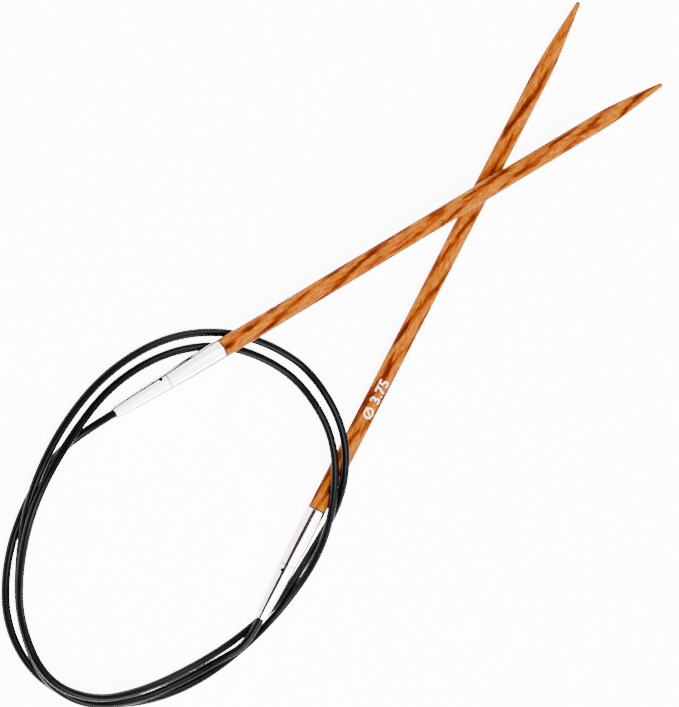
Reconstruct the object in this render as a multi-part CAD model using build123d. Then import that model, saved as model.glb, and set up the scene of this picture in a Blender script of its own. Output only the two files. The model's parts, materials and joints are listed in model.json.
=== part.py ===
from build123d import *
import math
import os

# Circular knitting needle: two pointed wooden tips, joined by one thin cord that lies in loose loops.
# Millimetres, +Z up. The origin is on the surface it lies on, under the middle of the rigid parts.
# Each rigid end is drawn along its own axis from the point where the cord leaves it, then laid down.

# tips, from the cord's exit to the point
END_LENGTH = 141.4
NEEDLE_R = 1.875
JOINT_AT = 25.0
TAPER_LENGTH = 17.5
TENON_R = 1.38
TENON_LENGTH = 6.5
TAPER_MID_R = 1.39
TAPER_MID_FROM_POINT = 9.3
POINT_R = 0.5
POINT_DOME = 0.35

# ferrule: metal sleeve on the butt of the wood, with a threaded socket at its other end
STEP_AT = 12.3
STEP_R = 1.65
FERRULE_R = 1.9
FERRULE_TAPER = 4.5
TENON_SOCKET_R = 1.4
TENON_END_GAP = 0.1
THREAD_SOCKET_R = 1.27
THREAD_SOCKET_DEPTH = 5.0
EDGE = 0.12

# connector: screws into the ferrule and turns on the end of the cord
EXIT_R = 1.08
SWELL = [(1.4, 4.2), (1.56, 8.4)]  # radius, distance from the exit
MOUTH_R = 0.85
MOUTH_LENGTH = 4.0
CHAMBER_R = 1.1
CHAMBER_LENGTH = 3.0
SHOULDER_AT = STEP_AT - 0.02
STUD_R = 1.22
STUD_ROOT_R = 1.0
STUD_NECK = 0.6
THREAD_PITCH = 0.45
THREAD_TURNS = 8
KEY_HOLE_R = 0.38
KEY_HOLE_AT = 11.0
KEY_HOLE_RISE = 20.0

# cord and the crimped anchors on its two ends
CORD_R = 0.8
ANCHOR_R = 1.05
ANCHOR_START = 4.2
ANCHOR_LENGTH = 2.4
LEAD = 6.0

# how the two ends lie: half the angle between them, and where and how high they cross
HALF_ANGLE = 19.4
CROSSING = (27.2, 0.85)
A_TO_CROSSING = 96.8
B_TO_CROSSING = 101.9
A_HEIGHTS = (2.9, 5.95)
B_HEIGHTS = (2.75, 2.031)

# the cord's loops: centre, then degrees round it from +X, distance from it and height, by hand
LOOP_CENTRE = (-68.3, 0.85)
ROUTE = [
    (104, 35.3, 0.85), (121, 37.1, 0.85), (139, 38.9, 0.85), (158, 40.4, 0.85), (178, 40.6, 0.85),
    (198, 40.2, 0.85), (218, 39.6, 0.85), (238, 39.2, 0.85), (258, 38.6, 0.85), (278, 39.1, 1.5),
    (298, 37.2, 4.5), (318, 36.0, 5.8), (338, 37.5, 4.4), (358, 37.4, 1), (378, 36.4, 0.85),
    (398, 36.8, 0.85), (418, 37.0, 0.85), (438, 36.6, 0.95), (458, 36.5, 2.9), (478, 38.2, 4.7),
    (498, 37.9, 4), (518, 38.3, 2.5), (538, 40.1, 4.6), (558, 38.2, 4.6), (578, 35.9, 2.3),
    (598, 34.9, 0.85), (618, 35.3, 0.85), (638, 37.3, 0.85), (658, 38.4, 0.9), (678, 38.3, 5.8),
    (698, 40.2, 5.1), (718, 40.6, 0.9), (738, 39.3, 0.85), (758, 39.6, 0.85), (778, 40.2, 0.85),
    (798, 39.6, 0.85), (818, 38.7, 1.7), (838, 38.5, 3), (858, 36.9, 2.2), (878, 37.5, 0.95),
    (898, 40.2, 2.9), (918, 40.3, 2.9), (938, 38.2, 2.1), (956, 36.9, 1), (971, 36.6, 1.2),
]


def end_plane(side, to_crossing, heights):
    """Plane at a cord exit: z along the end towards its point, x level, y up. side is -1 for A, 1 for B."""
    level = math.radians(HALF_ANGLE * side)
    rise = (heights[1] - heights[0]) / to_crossing
    along = Vector(math.cos(level), math.sin(level), rise)
    crossing = Vector(CROSSING[0], CROSSING[1], heights[1])
    across = Vector(-math.sin(level), math.cos(level), 0)
    return Plane(origin=crossing - along * to_crossing, x_dir=across, z_dir=along)


def turn(*edges):
    """Solid of revolution about Z from the edges of a closed outline in radius and height."""
    face = make_face(Plane.XZ * Curve(edges))
    return revolve(face, axis=Axis.Z)


def bore(radius, start, length):
    """Cylinder on the Z axis, used as a cut."""
    return Pos(0, 0, start) * Cylinder(radius, length, align=(Align.CENTER, Align.CENTER, Align.MIN))


def wood_tip():
    """Shaft with a tenon at its butt and a slender taper that ends in a small dome."""
    butt = JOINT_AT - TENON_LENGTH
    shoulder = END_LENGTH - TAPER_LENGTH
    sides = Polyline((0, butt), (TENON_R, butt), (TENON_R, JOINT_AT), (NEEDLE_R, JOINT_AT), (NEEDLE_R, shoulder))
    taper = Spline(
        (NEEDLE_R, shoulder),
        (TAPER_MID_R, END_LENGTH - TAPER_MID_FROM_POINT),
        (POINT_R, END_LENGTH - POINT_DOME),
        tangents=[(0, 1), (-0.1, 1)],
    )
    dome = TangentArc((0, END_LENGTH), (POINT_R, END_LENGTH - POINT_DOME), tangent=(1, 0))
    axis = Line((0, END_LENGTH), (0, butt))
    return turn(sides, taper, dome, axis)


def ferrule():
    """Sleeve that narrows to the step, with a socket for the tenon and one for the thread."""
    outline = Polyline(
        (0, STEP_AT),
        (STEP_R - EDGE, STEP_AT),
        (STEP_R, STEP_AT + EDGE),
        (FERRULE_R, STEP_AT + FERRULE_TAPER),
        (FERRULE_R, JOINT_AT - EDGE),
        (FERRULE_R - EDGE, JOINT_AT),
        (0, JOINT_AT),
        (0, STEP_AT),
    )
    tenon_socket = bore(TENON_SOCKET_R, JOINT_AT - TENON_LENGTH - TENON_END_GAP, TENON_LENGTH + TENON_END_GAP)
    thread_socket = bore(THREAD_SOCKET_R, STEP_AT, THREAD_SOCKET_DEPTH)
    return turn(outline) - tenon_socket - thread_socket


def stud_outline():
    """Outline of the threaded stud: a plain neck, then one ring for each turn of the thread."""
    start = SHOULDER_AT + STUD_NECK
    points = [(STUD_ROOT_R, SHOULDER_AT), (STUD_ROOT_R, start)]
    for ring in range(THREAD_TURNS):
        crest = start + (ring + 0.5) * THREAD_PITCH
        points.append((STUD_R, crest))
        points.append((STUD_ROOT_R, start + (ring + 1) * THREAD_PITCH))
    return points


def connector():
    """Slim body with the stud, the cross hole for the tightening key, and the anchor's chamber."""
    stud = stud_outline()
    rim = (STEP_R, SHOULDER_AT - EDGE)
    body = Spline((EXIT_R, EDGE), *SWELL, rim, tangents=[(0.1, 1), (0, 1)])
    mouth = Polyline((0, 0), (EXIT_R - EDGE, 0), (EXIT_R, EDGE))
    shoulder = Polyline(rim, (STEP_R - EDGE, SHOULDER_AT), *stud, (0, stud[-1][1]), (0, 0))
    solid = turn(mouth, body, shoulder)
    solid -= bore(MOUTH_R, 0, MOUTH_LENGTH)
    solid -= bore(CHAMBER_R, MOUTH_LENGTH, CHAMBER_LENGTH)
    key_hole = Pos(0, 0, KEY_HOLE_AT) * Rot(0, 0, KEY_HOLE_RISE) * Rot(0, 90, 0) * Cylinder(KEY_HOLE_R, 3 * STEP_R)
    return solid - key_hole


def anchor():
    """End of the cord in its crimped collar: a stem in the mouth and a head in the chamber."""
    head_end = ANCHOR_START + ANCHOR_LENGTH
    stem = Polyline((0, 0), (CORD_R, 0), (CORD_R, ANCHOR_START))
    head = Polyline((CORD_R, ANCHOR_START), (ANCHOR_R, ANCHOR_START), (ANCHOR_R, head_end), (0, head_end), (0, 0))
    return turn(stem, head)


def route_points(plane_a, plane_b):
    """Corners of the cord's route, from one exit to the other, with a straight lead at each."""
    points = [plane_a.origin, plane_a.origin - plane_a.z_dir * LEAD]
    for degrees, radius, height in ROUTE:
        x = LOOP_CENTRE[0] + radius * math.cos(math.radians(degrees))
        y = LOOP_CENTRE[1] + radius * math.sin(math.radians(degrees))
        points.append(Vector(x, y, height))
    points.append(plane_b.origin - plane_b.z_dir * LEAD)
    points.append(plane_b.origin)
    return points


def corner_radii(points):
    """Radius at each corner: 0.45 of the shorter run over the tangent of half the turn."""
    radii = []
    for before, corner, after in zip(points, points[1:], points[2:]):
        half_turn = math.radians((corner - before).get_angle(after - corner) / 2)
        shorter = min((corner - before).length, (after - corner).length)
        radii.append(0.45 * shorter / math.tan(half_turn))
    return radii


def cord(plane_a, plane_b):
    """Plain tube along the whole route."""
    points = route_points(plane_a, plane_b)
    radii = corner_radii(points)
    path = FilletPolyline(*points, radius=radii)
    section = Plane(origin=path @ 0, z_dir=path % 0) * Circle(CORD_R)
    tube = sweep(section, path=path)
    print("corner radii:", [round(r, 1) for r in radii])
    print("cord length:", round(path.length, 1), "volume ratio:", round(tube.volume / (section.area * path.length), 4))
    return tube


def save(shape, name):
    """One STEP file per sub-part."""
    shape.label = name
    export_step(shape, f"parts/{name}.step")


os.makedirs("parts", exist_ok=True)
PLANES = {
    "a": end_plane(-1, A_TO_CROSSING, A_HEIGHTS),
    "b": end_plane(1, B_TO_CROSSING, B_HEIGHTS),
}
for end, plane in PLANES.items():
    save(plane.location * wood_tip(), f"wood_tip_{end}")
    save(plane.location * ferrule(), f"ferrule_{end}")
    save(plane.location * connector(), f"connector_{end}")
    save(plane.location * anchor(), f"cord_anchor_{end}")
save(cord(PLANES["a"], PLANES["b"]), "cord")
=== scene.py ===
import json
import math
import bmesh
import bpy
import numpy as np
from mathutils import Matrix, Vector


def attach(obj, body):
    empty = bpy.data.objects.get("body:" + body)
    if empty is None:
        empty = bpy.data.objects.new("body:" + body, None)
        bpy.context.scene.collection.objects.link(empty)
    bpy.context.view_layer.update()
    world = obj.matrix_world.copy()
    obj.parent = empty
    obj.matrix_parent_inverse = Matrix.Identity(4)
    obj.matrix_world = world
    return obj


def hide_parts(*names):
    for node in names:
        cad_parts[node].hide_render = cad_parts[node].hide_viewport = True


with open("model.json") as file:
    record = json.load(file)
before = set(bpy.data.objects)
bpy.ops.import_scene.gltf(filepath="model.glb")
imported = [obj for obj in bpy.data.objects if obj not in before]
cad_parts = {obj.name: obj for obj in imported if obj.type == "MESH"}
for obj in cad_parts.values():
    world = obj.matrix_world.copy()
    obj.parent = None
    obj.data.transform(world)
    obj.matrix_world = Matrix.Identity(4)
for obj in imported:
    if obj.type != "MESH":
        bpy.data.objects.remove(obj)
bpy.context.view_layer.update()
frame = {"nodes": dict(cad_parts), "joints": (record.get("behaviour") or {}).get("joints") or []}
jointAt = {joint["name"]: joint for joint in frame["joints"]}
print("frame loaded,", len(frame["nodes"]), "nodes")


# each rigid end has its own frame: x runs from the cord's exit to the point, y is level, z is up
def endFrame(end):
    hinge = jointAt[f"connector_{end}_turn"]
    along = -Vector(hinge["axis"]).normalized()
    across = Vector((0, 0, 1)).cross(along).normalized()
    upward = along.cross(across)
    turn = Matrix((along, across, upward)).transposed()
    return Vector(hinge["pos_m"]), turn


def farEnd(node, end):
    # how far a part of the frame reaches from the cord's exit, along its end
    origin, turn = endFrame(end)
    mesh = frame["nodes"][node].data
    corners = np.empty(len(mesh.vertices) * 3)
    mesh.vertices.foreach_get("co", corners)
    distance = (corners.reshape(-1, 3) - np.array(origin)) @ np.array(turn.col[0])
    return float(distance.max())


# camera
cameraSetup = {
    "target": (-0.02073, -0.00285, 0.0),
    "azimuth": 108.36,  # of the camera round the target, from +X
    "elevation": 45.19,
    "distance": 0.5025,
    "roll": 118.33,
    "lens": 127.3,
    "sensor": 36.0,
    "clip": (0.01, 20),
}


def makeCamera(setup):
    azimuth, elevation = math.radians(setup["azimuth"]), math.radians(setup["elevation"])
    outwards = Vector((
        math.cos(azimuth) * math.cos(elevation),
        math.sin(azimuth) * math.cos(elevation),
        math.sin(elevation),
    ))
    data = bpy.data.cameras.new("camera")
    data.lens = setup["lens"]
    data.sensor_width = setup["sensor"]
    data.clip_start, data.clip_end = setup["clip"]
    camera = bpy.data.objects.new("camera", data)
    bpy.context.scene.collection.objects.link(camera)
    camera.location = Vector(setup["target"]) + outwards * setup["distance"]
    level = outwards.to_track_quat("Z", "Y").to_matrix()
    rolled = level @ Matrix.Rotation(math.radians(setup["roll"]), 3, "Z")
    camera.rotation_euler = rolled.to_euler()
    bpy.context.scene.camera = camera


makeCamera(cameraSetup)
print("camera placed")

# cord
cordSetup = {
    "diameter": 0.0016,
    "length": 0.5985,
    "lead": 0.006,  # straight run out of each connector
    "pointRadius": 0.001,  # of the curve's points: small, so that the curve's box stays close to it
    "steps": 12,
    "roundness": 7,
    "loopCentre": (-0.0683, 0.00085),
    # degrees round the loop, distance from its middle, height of the cord's own middle
    "route": [
        (104, 0.0353, 0.00085), (121, 0.0371, 0.00085), (139, 0.0389, 0.00085), (158, 0.0404, 0.00085),
        (178, 0.0406, 0.00085), (198, 0.0402, 0.00085), (218, 0.0396, 0.00085), (238, 0.0392, 0.00085),
        (258, 0.0386, 0.00085), (278, 0.0391, 0.0010), (298, 0.0372, 0.0045), (318, 0.0360, 0.0058),
        (338, 0.0375, 0.0044), (358, 0.0374, 0.0010), (378, 0.0364, 0.00085), (398, 0.0368, 0.00085),
        (418, 0.0370, 0.00085), (438, 0.0366, 0.00095), (458, 0.0365, 0.0029), (478, 0.0382, 0.0047),
        (498, 0.0379, 0.0040), (518, 0.0383, 0.0025), (538, 0.0401, 0.0046), (558, 0.0382, 0.0046),
        (578, 0.0359, 0.0023), (598, 0.0349, 0.00085), (618, 0.0353, 0.00085), (638, 0.0373, 0.00085),
        (658, 0.0384, 0.0009), (678, 0.0383, 0.0058), (698, 0.0402, 0.0051), (718, 0.0406, 0.0009),
        (738, 0.0393, 0.00085), (758, 0.0396, 0.00085), (778, 0.0402, 0.00085), (798, 0.0396, 0.00085),
        (818, 0.0387, 0.0017), (838, 0.0385, 0.0030), (858, 0.0369, 0.0022), (878, 0.0375, 0.00095),
        (898, 0.0402, 0.0029), (918, 0.0403, 0.0029), (938, 0.0382, 0.0021), (956, 0.0369, 0.0010),
        (971, 0.0366, 0.0012),
    ],
}


def makeCord(setup):
    exitA, turnA = endFrame("a")
    exitB, turnB = endFrame("b")
    degrees, radius, height = np.array(setup["route"]).T
    angle = np.radians(degrees)
    loop = np.column_stack([
        setup["loopCentre"][0] + radius * np.cos(angle),
        setup["loopCentre"][1] + radius * np.sin(angle),
        height,
    ])
    leadA = exitA - turnA.col[0] * setup["lead"]
    leadB = exitB - turnB.col[0] * setup["lead"]
    points = np.vstack([exitA, leadA, loop, leadB, exitB])
    curve = bpy.data.curves.new("cord_line", "CURVE")
    curve.dimensions = "3D"
    spline = curve.splines.new("NURBS")
    spline.points.add(len(points) - 1)
    spline.points.foreach_set("co", np.column_stack([points, np.ones(len(points))]).ravel())
    # a point's own radius times the bevel depth is the tube's radius
    spline.points.foreach_set("radius", np.full(len(points), setup["pointRadius"]))
    spline.order_u = 3
    spline.use_endpoint_u = True
    spline.use_smooth = True
    curve.resolution_u = setup["steps"]
    curve.bevel_depth = setup["diameter"] / 2 / setup["pointRadius"]
    curve.bevel_resolution = setup["roundness"]
    curve.use_fill_caps = True
    cord = bpy.data.objects.new("cord_line", curve)
    bpy.context.scene.collection.objects.link(cord)
    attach(cord, "cord")
    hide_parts("cord")
    return cord


cordLine = makeCord(cordSetup)
print("cord laid,", len(cordSetup["route"]), "route points")


# shader helpers
def newMaterial(name):
    material = bpy.data.materials.new(name)
    material.use_nodes = True
    tree = material.node_tree
    return material, tree, tree.nodes["Principled BSDF"]


def newGroup(name, inputs, outputs):
    group = bpy.data.node_groups.new(name, "ShaderNodeTree")
    for socketName, kind, value in inputs:
        socket = group.interface.new_socket(name=socketName, in_out="INPUT", socket_type=kind)
        if value is not None:
            socket.default_value = value
    for socketName, kind in outputs:
        group.interface.new_socket(name=socketName, in_out="OUTPUT", socket_type=kind)
    start = group.nodes.new("NodeGroupInput")
    end = group.nodes.new("NodeGroupOutput")
    return group, start.outputs, end.inputs


def mathNode(tree, operation, first, second=None, third=None, clamp=False):
    node = tree.nodes.new("ShaderNodeMath")
    node.operation = operation
    node.use_clamp = clamp
    for slot, value in enumerate((first, second, third)):
        if isinstance(value, (int, float)):
            node.inputs[slot].default_value = value
        elif value is not None:
            tree.links.new(value, node.inputs[slot])
    return node.outputs[0]


def stretched(tree, vector, scale):
    # the same coordinates, finer or coarser along each axis
    node = tree.nodes.new("ShaderNodeVectorMath")
    node.operation = "MULTIPLY"
    node.inputs[1].default_value = scale
    tree.links.new(vector, node.inputs[0])
    return node.outputs[0]


def noise(tree, vector, layer):
    # a layer holds scale, detail and roughness; a scale of three numbers is one for each axis
    scale, detail, roughness = layer
    if isinstance(scale, tuple):
        vector, scale = stretched(tree, vector, scale), 1.0
    node = tree.nodes.new("ShaderNodeTexNoise")
    node.inputs["Scale"].default_value = scale
    node.inputs["Detail"].default_value = detail
    node.inputs["Roughness"].default_value = roughness
    tree.links.new(vector, node.inputs["Vector"])
    return node.outputs[0]


def ramp(tree, value, stops):
    # each stop is a place and what the value becomes there: a number or a colour
    node = tree.nodes.new("ShaderNodeValToRGB")
    elements = node.color_ramp.elements
    while len(elements) < len(stops):
        elements.new(0.5)
    for element, (place, shade) in zip(elements, stops):
        element.position = place
        element.color = (*shade, 1) if isinstance(shade, tuple) else (shade, shade, shade, 1)
    tree.links.new(value, node.inputs[0])
    return node.outputs[0]


def mixColour(tree, factor, first, second, blend="MIX"):
    node = tree.nodes.new("ShaderNodeMix")
    node.data_type = "RGBA"
    node.blend_type = blend
    for slot, value in ((0, factor), (6, first), (7, second)):
        if isinstance(value, tuple):
            node.inputs[slot].default_value = (*value, 1)
        elif isinstance(value, (int, float)):
            node.inputs[slot].default_value = value
        else:
            tree.links.new(value, node.inputs[slot])
    return node.outputs[2]


def objectCoordinates(tree):
    return tree.nodes.new("ShaderNodeTexCoord").outputs["Object"]


def endCoordinates(tree, end):
    # millimetres in the end's own frame
    origin, turn = endFrame(end)
    mapping = tree.nodes.new("ShaderNodeMapping")
    mapping.vector_type = "TEXTURE"
    mapping.inputs["Location"].default_value = origin
    mapping.inputs["Rotation"].default_value = turn.to_euler()
    mapping.inputs["Scale"].default_value = (0.001, 0.001, 0.001)
    tree.links.new(objectCoordinates(tree), mapping.inputs["Vector"])
    return mapping.outputs[0]


def addBump(tree, height, bump):
    strength, distance = bump
    node = tree.nodes.new("ShaderNodeBump")
    node.inputs["Strength"].default_value = strength
    node.inputs["Distance"].default_value = distance
    tree.links.new(height, node.inputs["Height"])
    tree.links.new(node.outputs[0], tree.nodes["Principled BSDF"].inputs["Normal"])


def coat(node, material):
    mesh = frame["nodes"][node].data
    mesh.materials.clear()
    mesh.materials.append(material)


# laminated wood
woodSetup = {
    "veneer": 2.5,  # one light and one dark veneer, in mm
    "slant": 0.164,  # how far the veneers run across for each mm along
    "tilt": {"a": -38.0, "b": -45.0},  # of the veneers about the shaft, in degrees
    "lean": {"a": -1.0, "b": 1.0},
    "shift": {"a": 0.35, "b": 0.8},  # of the veneers and the noise, so that the tips differ
    "shiftReach": 61.0,  # how many mm a shift of 1 moves the noise
    "amber": (0.41, 0.120, 0.0),
    "honey": (0.37, 0.082, 0.0),
    "chestnut": (0.21, 0.028, 0.0),
    "umber": (0.060, 0.005, 0.0),
    "shadeAt": (0.0, 0.38, 0.54, 0.92),  # of amber, honey, chestnut and umber in a veneer
    # colour of the pale flecks: painted highlights of the lacquer
    "fleckAndGlint": (0.47, 0.165, 0.0),
    "endGrain": (0.020, 0.009, 0.004),
    # noises: cycles for each mm along, across and up, then detail and roughness
    "driftNoise": ((0.09, 0.35, 0.35), 2.0, 0.5),
    "featherNoise": ((0.20, 2.0, 2.0), 5.0, 0.75),
    "patchNoise": ((0.11, 0.6, 0.6), 3.0, 0.6),
    "fibreNoise": ((0.30, 5.0, 5.0), 4.0, 0.7),
    "fleckAndGlintNoise": ((0.75, 3.6, 3.6), 2.0, 0.6),
    "poreNoise": ((0.9, 9.0, 9.0), 1.0, 0.5),
    "driftReach": 3.4,  # how many mm the noise moves a veneer's edge
    "featherReach": 1.5,
    # ramps: a value of the noise or the veneer, and what it becomes
    "patchFade": [(0.42, 0.46), (0.58, 0.88), (0.70, 1.0)],
    "contrast": 2.2,
    "fibreShade": [(0.34, 0.35), (0.48, 0.95), (0.70, 1.25)],
    "fibreWeight": 0.80,
    "fleckShade": [(0.36, 0.62), (0.52, 0.85), (0.66, 1.0)],
    # where the painted highlights show: fewer in the dark veneers
    "glintFade": [(0.30, 1.0), (0.62, 0.80)],
    "glint": [(0.57, 0.0), (0.68, 0.7)],
    "poreMask": [(0.64, 0.0), (0.72, 0.7)],
    "tipRise": 1.7,  # of the dark end grain for each mm towards the point
    "tipValue": 1.3,  # of the same at the point
    "roughness": 0.24,
    "roughnessSpan": 0.18,
    "poreHeight": -0.5,
    "bump": (0.25, 0.0001),
    "coat": 0.02,
    "coatRoughness": 0.10,
    "specular": 0.015,
}


def laminatedWoodGroup(setup):
    group, given, result = newGroup(
        "laminatedWood",
        [
            ("Vector", "NodeSocketVector", None),
            ("Cos", "NodeSocketFloat", 1.0),
            ("Sin", "NodeSocketFloat", 0.0),
            ("Lean", "NodeSocketFloat", 1.0),
            ("Shift", "NodeSocketFloat", 0.0),
            ("Tip At", "NodeSocketFloat", 141.4),
        ],
        [("Color", "NodeSocketColor"), ("Roughness", "NodeSocketFloat"), ("Height", "NodeSocketFloat")],
    )
    parts = group.nodes.new("ShaderNodeSeparateXYZ")
    group.links.new(given["Vector"], parts.inputs[0])
    along, across, upward = parts.outputs
    offset = group.nodes.new("ShaderNodeCombineXYZ")
    group.links.new(mathNode(group, "MULTIPLY", given["Shift"], setup["shiftReach"]), offset.inputs[0])
    moved = group.nodes.new("ShaderNodeVectorMath")
    group.links.new(given["Vector"], moved.inputs[0])
    group.links.new(offset.outputs[0], moved.inputs[1])
    place = moved.outputs[0]
    # veneers: flat layers leaning across the shaft, their edges feathered by drawn-out noise
    layer = mathNode(group, "MULTIPLY", across, given["Cos"])
    layer = mathNode(group, "MULTIPLY_ADD", upward, given["Sin"], layer)
    lean = mathNode(group, "MULTIPLY", along, setup["slant"])
    layer = mathNode(group, "MULTIPLY_ADD", lean, given["Lean"], layer)
    drift = noise(group, place, setup["driftNoise"])
    feather = noise(group, place, setup["featherNoise"])
    layer = mathNode(group, "MULTIPLY_ADD", drift, setup["driftReach"], layer)
    layer = mathNode(group, "MULTIPLY_ADD", feather, setup["featherReach"], layer)
    layer = mathNode(group, "MULTIPLY_ADD", layer, 1.0 / setup["veneer"], given["Shift"])
    wave = mathNode(group, "PINGPONG", layer, 0.5)
    # each veneer fades and darkens along its length
    patch = ramp(group, noise(group, place, setup["patchNoise"]), setup["patchFade"])
    wave = mathNode(group, "MULTIPLY", wave, patch)
    wave = mathNode(group, "MULTIPLY", wave, setup["contrast"])
    shades = [setup[name] for name in ("amber", "honey", "chestnut", "umber")]
    shade = ramp(group, wave, list(zip(setup["shadeAt"], shades)))
    # fibres: long dark lines along the shaft
    fibre = noise(group, place, setup["fibreNoise"])
    fibreShade = ramp(group, fibre, setup["fibreShade"])
    shade = mixColour(group, setup["fibreWeight"], shade, fibreShade, "MULTIPLY")
    # flecks: short dark dashes of the grain, and pale dashes that are painted highlights of the lacquer,
    # the pale ones weaker in the dark veneers
    fleckAndGlint = noise(group, place, setup["fleckAndGlintNoise"])
    shade = mixColour(group, 1.0, shade, ramp(group, fleckAndGlint, setup["fleckShade"]), "MULTIPLY")
    glint = mathNode(group, "MULTIPLY", fleckAndGlint, ramp(group, wave, setup["glintFade"]))
    shade = mixColour(group, ramp(group, glint, setup["glint"]), shade, setup["fleckAndGlint"])
    pore = noise(group, place, setup["poreNoise"])
    poreMask = ramp(group, pore, setup["poreMask"])
    shade = mixColour(group, poreMask, shade, setup["umber"])
    # dark end grain at the very point
    tipMask = mathNode(group, "SUBTRACT", along, given["Tip At"])
    tipMask = mathNode(group, "MULTIPLY_ADD", tipMask, setup["tipRise"], setup["tipValue"], clamp=True)
    shade = mixColour(group, tipMask, shade, setup["endGrain"])
    group.links.new(shade, result["Color"])
    gloss = mathNode(group, "MULTIPLY_ADD", fibre, setup["roughnessSpan"], setup["roughness"])
    group.links.new(gloss, result["Roughness"])
    height = mathNode(group, "MULTIPLY_ADD", poreMask, setup["poreHeight"], fibre)
    group.links.new(height, result["Height"])
    return group


def woodMaterial(end, group, setup):
    material, tree, shader = newMaterial(f"laminatedWood{end.upper()}")
    wood = tree.nodes.new("ShaderNodeGroup")
    wood.node_tree = group
    tilt = math.radians(setup["tilt"][end])
    wood.inputs["Cos"].default_value = math.cos(tilt)
    wood.inputs["Sin"].default_value = math.sin(tilt)
    wood.inputs["Lean"].default_value = setup["lean"][end]
    wood.inputs["Shift"].default_value = setup["shift"][end]
    wood.inputs["Tip At"].default_value = farEnd(f"wood_tip_{end}", end) * 1000
    tree.links.new(endCoordinates(tree, end), wood.inputs["Vector"])
    tree.links.new(wood.outputs["Color"], shader.inputs["Base Color"])
    tree.links.new(wood.outputs["Roughness"], shader.inputs["Roughness"])
    shader.inputs["Coat Weight"].default_value = setup["coat"]
    shader.inputs["Coat Roughness"].default_value = setup["coatRoughness"]
    shader.inputs["Specular IOR Level"].default_value = setup["specular"]
    addBump(tree, wood.outputs["Height"], setup["bump"])
    return material


woodGroup = laminatedWoodGroup(woodSetup)
for end in "ab":
    coat(f"wood_tip_{end}", woodMaterial(end, woodGroup, woodSetup))
print("wood finished")

# small pieces made on the ends
shaftRadius = 0.001875  # of the wood where they lie


def pieceFromGrid(name, points):
    # a grid of points, rows round the shaft and columns round the section, closed both ways
    rows, columns = points.shape[:2]
    number = np.arange(rows * columns).reshape(rows, columns)
    nextRow = np.roll(number, -1, axis=0)
    nextColumn = np.roll(number, -1, axis=1)
    corner = np.roll(nextRow, -1, axis=1)
    faces = np.stack([number, nextColumn, corner, nextRow], axis=-1)
    mesh = bpy.data.meshes.new(name)
    mesh.from_pydata(points.reshape(-1, 3).tolist(), [], faces.reshape(-1, 4).tolist())
    mesh.shade_smooth()
    piece = bpy.data.objects.new(name, mesh)
    bpy.context.scene.collection.objects.link(piece)
    return piece


def onShaft(end, along, radius, angle):
    # distance from the exit, distance from the axis and angle about it, to a place in the frame
    origin, turn = endFrame(end)
    axes = np.array(turn.transposed())
    local = np.stack([along, radius * np.cos(angle), radius * np.sin(angle)], axis=-1)
    return local @ axes + np.array(origin)


# a dark ring round the joint of wood and sleeve
jointRingSetup = {
    "width": 0.00016,
    "start": 0.9,  # from the sleeve's end to the ring's middle, in widths
    "proud": 0.00003,
    "sunk": 0.00001,
    "rows": 72,
    "columns": 10,
    "shade": (0.018, 0.006, 0.003),
    "paler": 2.2,  # times the shade, in the blots
    "blotNoise": (1500.0, 2.0, 0.5),
    "roughness": 0.35,
    "specular": 0.3,
}


def makeJointRing(end, setup):
    # a thin ring: a small ellipse carried once round the joint of wood and sleeve
    joint = farEnd(f"ferrule_{end}", end)
    around, section = np.meshgrid(
        np.linspace(0, 2 * np.pi, setup["rows"], endpoint=False),
        np.linspace(0, 2 * np.pi, setup["columns"], endpoint=False),
        indexing="ij",
    )
    along = joint + setup["width"] * (setup["start"] + np.cos(section))
    radius = shaftRadius - setup["sunk"] + setup["proud"] * np.sin(section)
    ring = pieceFromGrid(f"dark_joint_ring_{end}", onShaft(end, along, radius, around))
    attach(ring, f"tip_{end}")
    return ring


def jointRingMaterial(setup):
    material, tree, shader = newMaterial("darkJointRing")
    blot = noise(tree, objectCoordinates(tree), setup["blotNoise"])
    paler = tuple(setup["paler"] * part for part in setup["shade"])
    tree.links.new(mixColour(tree, blot, setup["shade"], paler), shader.inputs["Base Color"])
    shader.inputs["Roughness"].default_value = setup["roughness"]
    shader.inputs["Specular IOR Level"].default_value = setup["specular"]
    return material


markSetup = {
    "text": "\u00d8 3.75",
    "height": 0.0021,
    "length": 0.0086,
    "thickness": 0.000012,
    "lift": 0.000008,
    "start": {"a": 0.0350, "b": 0.0462},
    "baseline": {"a": -8.0, "b": 88.0},  # degrees about the shaft
    "slices": 14,
    "bolder": 0.010,  # how far the letters' outline grows, in letter heights
    "outlineSteps": 6,
    "shade": (0.95, 0.94, 0.92),
    "rubbedShade": 0.6,  # times the shade, where the ink is rubbed
    "rubNoise": (2600.0, 3.0, 0.6),
    "rubMask": [(0.64, 0.0), (0.82, 0.4)],
    "roughness": 0.5,
    "specular": 0.2,
}


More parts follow.
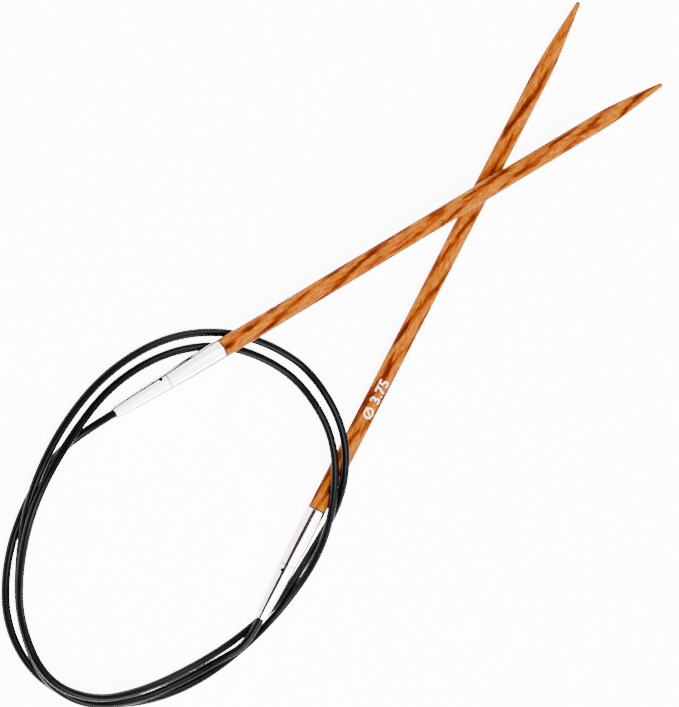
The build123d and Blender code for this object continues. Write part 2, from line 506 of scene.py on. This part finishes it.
def makeSizeMark(end, setup):
    # flat letters cut into narrow strips and rolled round the shaft: across becomes an angle
    letters = bpy.data.curves.new("letters", "FONT")
    letters.body = setup["text"]
    letters.size = 1.0
    letters.offset = setup["bolder"]
    letters.extrude = 0.5  # only a start: the thickness replaces it
    letters.resolution_u = setup["outlineSteps"]
    flat = bpy.data.objects.new("letters", letters)
    bpy.context.scene.collection.objects.link(flat)
    bpy.context.view_layer.update()
    mesh = bpy.data.meshes.new_from_object(flat.evaluated_get(bpy.context.evaluated_depsgraph_get()))
    bpy.data.objects.remove(flat)
    work = bmesh.new()
    work.from_mesh(mesh)
    bmesh.ops.remove_doubles(work, verts=work.verts, dist=1e-5)
    heights = [vertex.co.y for vertex in work.verts]
    for level in np.linspace(min(heights), max(heights), setup["slices"])[1:-1]:
        everything = list(work.verts) + list(work.edges) + list(work.faces)
        bmesh.ops.bisect_plane(work, geom=everything, plane_co=(0, level, 0), plane_no=(0, 1, 0), dist=1e-6)
    bmesh.ops.triangulate(work, faces=work.faces)
    bmesh.ops.recalc_face_normals(work, faces=work.faces)
    work.to_mesh(mesh)
    work.free()
    points = np.empty(len(mesh.vertices) * 3)
    mesh.vertices.foreach_get("co", points)
    points = points.reshape(-1, 3)
    span = points.max(axis=0) - points.min(axis=0)
    unit = (points - points.min(axis=0)) / span
    angle = math.radians(setup["baseline"][end]) - unit[:, 1] * setup["height"] / shaftRadius
    along = setup["start"][end] + unit[:, 0] * setup["length"]
    radius = shaftRadius + setup["lift"] + unit[:, 2] * setup["thickness"]
    mesh.vertices.foreach_set("co", onShaft(end, along, radius, angle).ravel())
    mesh.update()
    mark = bpy.data.objects.new(f"size_mark_{end}", mesh)
    bpy.context.scene.collection.objects.link(mark)
    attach(mark, f"tip_{end}")
    return mark


def inkMaterial(setup):
    material, tree, shader = newMaterial("whiteInk")
    rub = noise(tree, objectCoordinates(tree), setup["rubNoise"])
    rubbed = tuple(setup["rubbedShade"] * part for part in setup["shade"])
    shade = mixColour(tree, ramp(tree, rub, setup["rubMask"]), setup["shade"], rubbed)
    tree.links.new(shade, shader.inputs["Base Color"])
    shader.inputs["Roughness"].default_value = setup["roughness"]
    shader.inputs["Specular IOR Level"].default_value = setup["specular"]
    return material


jointRing, ink = jointRingMaterial(jointRingSetup), inkMaterial(markSetup)
for end in "ab":
    makeJointRing(end, jointRingSetup).data.materials.append(jointRing)
    makeSizeMark(end, markSetup).data.materials.append(ink)
print("glue lines and size marks made")

# polished nickel
nickelSetup = {
    "bright": (0.93, 0.915, 0.88),
    "warm": (0.88, 0.84, 0.77),
    "dull": (0.50, 0.48, 0.46),
    # painted shade in the seam at the step and inside the key hole
    "seamShade": (0.22, 0.20, 0.19),
    "hole": (0.006, 0.006, 0.007),
    # noises: cycles for each mm along, across and up, then detail and roughness
    "cloudNoise": ((0.25, 0.9, 0.9), 3.0, 0.5),
    "speckNoise": ((2.5, 4.0, 4.0), 2.0, 0.5),
    "turningNoise": ((14.0, 0.3, 0.3), 2.0, 0.7),
    "scratchNoise": ((0.6, 12.0, 12.0), 2.0, 0.6),
    "cloudMask": [(0.35, 0.0), (0.70, 1.0)],
    "speckMask": [(0.72, 0.0), (0.86, 0.25)],
    # along the end in mm: the middle, half the width and the soft edge
    "seamAt": (12.29, 0.10, 0.05),
    "holeAt": (11.0, 0.42, 0.06),
    "holeFloor": [(0.765, 1.0), (0.785, 0.0)],  # distance from the axis, in units of 2 mm
    "roughness": 0.10,
    "roughnessSpan": 0.10,
    "speckRoughness": 0.25,
    "holeRoughness": 0.7,
    "scratchHeight": 0.4,
    "bump": (0.03, 0.00003),
}


def nearTo(tree, value, band):
    # 1 within half of the middle, falling to 0 over the edge
    middle, half, edge = band
    away = mathNode(tree, "ABSOLUTE", mathNode(tree, "SUBTRACT", value, middle))
    return mathNode(tree, "MULTIPLY_ADD", away, -1.0 / edge, (half + edge) / edge, clamp=True)


def polishedNickelGroup(setup):
    group, given, result = newGroup(
        "polishedNickel",
        [("Vector", "NodeSocketVector", None)],
        [("Color", "NodeSocketColor"), ("Roughness", "NodeSocketFloat"), ("Height", "NodeSocketFloat")],
    )
    place = given["Vector"]
    cloud = noise(group, place, setup["cloudNoise"])
    shade = mixColour(group, ramp(group, cloud, setup["cloudMask"]), setup["bright"], setup["warm"])
    speckMask = ramp(group, noise(group, place, setup["speckNoise"]), setup["speckMask"])
    shade = mixColour(group, speckMask, shade, setup["dull"])
    # painted shade: a dark line in the seam at the step, and black inside the small key hole
    parts = group.nodes.new("ShaderNodeSeparateXYZ")
    group.links.new(place, parts.inputs[0])
    along, across, upward = parts.outputs
    shade = mixColour(group, nearTo(group, along, setup["seamAt"]), shade, setup["seamShade"])
    reach = mathNode(group, "MULTIPLY", across, across)
    reach = mathNode(group, "SQRT", mathNode(group, "MULTIPLY_ADD", upward, upward, reach))
    inside = ramp(group, mathNode(group, "MULTIPLY", reach, 0.5), setup["holeFloor"])
    hole = mathNode(group, "MULTIPLY", nearTo(group, along, setup["holeAt"]), inside)
    shade = mixColour(group, hole, shade, setup["hole"])
    group.links.new(shade, result["Color"])
    middle = setup["roughness"] - setup["roughnessSpan"] / 2
    gloss = mathNode(group, "MULTIPLY_ADD", cloud, setup["roughnessSpan"], middle)
    gloss = mathNode(group, "MULTIPLY_ADD", speckMask, setup["speckRoughness"], gloss)
    gloss = mathNode(group, "MULTIPLY_ADD", hole, setup["holeRoughness"], gloss)
    group.links.new(gloss, result["Roughness"])
    # turning marks run round the metal, handling scratches along it
    turning = noise(group, place, setup["turningNoise"])
    scratch = noise(group, place, setup["scratchNoise"])
    height = mathNode(group, "MULTIPLY_ADD", scratch, setup["scratchHeight"], turning)
    group.links.new(height, result["Height"])
    return group


def nickelMaterial(end, group, setup):
    material, tree, shader = newMaterial(f"polishedNickel{end.upper()}")
    metal = tree.nodes.new("ShaderNodeGroup")
    metal.node_tree = group
    tree.links.new(endCoordinates(tree, end), metal.inputs["Vector"])
    tree.links.new(metal.outputs["Color"], shader.inputs["Base Color"])
    tree.links.new(metal.outputs["Roughness"], shader.inputs["Roughness"])
    shader.inputs["Metallic"].default_value = 1.0
    addBump(tree, metal.outputs["Height"], setup["bump"])
    return material


nickelGroup = polishedNickelGroup(nickelSetup)
for end in "ab":
    nickel = nickelMaterial(end, nickelGroup, nickelSetup)
    for node in ("ferrule", "connector", "cord_anchor"):
        coat(f"{node}_{end}", nickel)
print("metal finished")

# cord finish
cordFinish = {
    "black": (0.0006, 0.0006, 0.0010),
    "worn": (0.0018, 0.0017, 0.0026),
    "wornFrom": 0.35,
    "wornTo": 0.70,
    "cloudNoise": (350.0, 3.0, 0.5),
    "grainNoise": (4200.0, 2.0, 0.6),
    "roughness": 0.25,
    "roughnessSpan": 0.16,
    "specular": 0.08,
    "specularTint": (0.90, 0.92, 1.0),
    "bump": (0.10, 0.00002),
}


def cordMaterial(setup):
    material, tree, shader = newMaterial("blackCord")
    place = objectCoordinates(tree)
    cloud = noise(tree, place, setup["cloudNoise"])
    grain = noise(tree, place, setup["grainNoise"])
    wear = [(setup["wornFrom"], setup["black"]), (setup["wornTo"], setup["worn"])]
    tree.links.new(ramp(tree, cloud, wear), shader.inputs["Base Color"])
    middle = setup["roughness"] - setup["roughnessSpan"] / 2
    gloss = mathNode(tree, "MULTIPLY_ADD", cloud, setup["roughnessSpan"], middle)
    tree.links.new(gloss, shader.inputs["Roughness"])
    shader.inputs["Specular IOR Level"].default_value = setup["specular"]
    shader.inputs["Specular Tint"].default_value = (*setup["specularTint"], 1)
    addBump(tree, grain, setup["bump"])
    return material


cordLine.data.materials.append(cordMaterial(cordFinish))
print("cord finished")

# floor, light and surroundings
floorSetup = {
    "reach": 4.0,
    "shade": (0.93, 0.93, 0.93),
    "roughness": 0.9,
    "specular": 0.1,
    "glow": 1.6,
    "whiteness": 8.0,
}


def makeFloor(setup):
    reach = setup["reach"]
    mesh = bpy.data.meshes.new("floor")
    corners = [(-reach, -reach, 0), (reach, -reach, 0), (reach, reach, 0), (-reach, reach, 0)]
    mesh.from_pydata(corners, [], [(0, 1, 2, 3)])
    floor = bpy.data.objects.new("floor", mesh)
    bpy.context.scene.collection.objects.link(floor)
    material, tree, shader = newMaterial("paleFloor")
    shader.inputs["Base Color"].default_value = (*setup["shade"], 1)
    shader.inputs["Roughness"].default_value = setup["roughness"]
    shader.inputs["Specular IOR Level"].default_value = setup["specular"]
    shader.inputs["Emission Color"].default_value = (1, 1, 1, 1)
    # seen directly it is paper white, but it throws only a soft light back up
    seen = tree.nodes.new("ShaderNodeLightPath").outputs["Is Camera Ray"]
    glow = mathNode(tree, "MULTIPLY_ADD", seen, setup["whiteness"], setup["glow"])
    tree.links.new(glow, shader.inputs["Emission Strength"])
    mesh.materials.append(material)


lightSetup = {
    "key": {"place": (-0.30, 0.10, 0.80), "size": 0.55, "power": 18.0, "shade": (1.0, 0.98, 0.95)},
    "fill": {"place": (0.60, 0.10, 0.55), "size": 0.60, "power": 9.0, "shade": (1.0, 0.97, 0.93)},
    "back": {"place": (-0.10, -0.70, 0.50), "size": 0.50, "power": 7.0, "shade": (1.0, 1.0, 1.0)},
}


def makeLights(setup):
    lamps = []
    for name, light in setup.items():
        data = bpy.data.lights.new(name, "AREA")
        data.shape = "SQUARE"
        data.size = light["size"]
        data.energy = light["power"]
        data.color = light["shade"]
        lamp = bpy.data.objects.new(name, data)
        bpy.context.scene.collection.objects.link(lamp)
        lamp.location = light["place"]
        toward = Vector(light["place"]) - Vector(light.get("aim", (0, 0, 0)))
        lamp.rotation_euler = toward.to_track_quat("Z", "Y").to_euler()
        lamps.append(lamp)
    return lamps


# broad white panels for the metal alone, bright enough for polished nickel to look white
metalLightSetup = {
    "roof": {
        "place": (0.0, -0.70, 1.0),
        "aim": (0.0, -0.70, 0.0),
        "size": 3.0,
        "power": 200.0,
        "shade": (1.0, 1.0, 1.0),
    },
    "wall": {"place": (0.75, 0.75, 0.40), "size": 1.1, "power": 17.0, "shade": (1.0, 0.95, 0.86)},
}


def makeMetalLights(setup):
    metals = bpy.data.collections.new("metals")
    for end in "ab":
        for node in ("ferrule", "connector"):
            metals.objects.link(frame["nodes"][f"{node}_{end}"])
    for lamp in makeLights(setup):
        lamp.light_linking.receiver_collection = metals


worldSetup = {
    # height of the sky from the horizon, as the sine of its angle, and how bright it is there
    "bands": [(0.0, 0.05), (0.30, 0.10), (0.46, 0.85), (1.0, 1.0)],
    # a dim side of the room: its direction, and where it fades, as the cosine of the angle from it
    "dimSide": (-0.316, 0.949, 0.0),
    "dimEdge": [(0.52, 0.0), (0.66, 1.0)],
    "dimShade": (0.075, 0.045, 0.050),
    "strength": 1.0,
}


def makeWorld(setup):
    world = bpy.data.worlds.new("studio")
    world.use_nodes = True
    tree = world.node_tree
    place = tree.nodes.new("ShaderNodeTexCoord")
    parts = tree.nodes.new("ShaderNodeSeparateXYZ")
    tree.links.new(place.outputs["Generated"], parts.inputs[0])
    sky = ramp(tree, parts.outputs[2], setup["bands"])
    side = tree.nodes.new("ShaderNodeVectorMath")
    side.operation = "DOT_PRODUCT"
    side.inputs[1].default_value = setup["dimSide"]
    tree.links.new(place.outputs["Generated"], side.inputs[0])
    sky = mixColour(tree, ramp(tree, side.outputs["Value"], setup["dimEdge"]), sky, setup["dimShade"])
    background = tree.nodes["Background"]
    tree.links.new(sky, background.inputs["Color"])
    background.inputs["Strength"].default_value = setup["strength"]
    bpy.context.scene.world = world


makeFloor(floorSetup)
makeLights(lightSetup)
makeMetalLights(metalLightSetup)
makeWorld(worldSetup)
print("stage set")

bpy.context.view_layer.update()
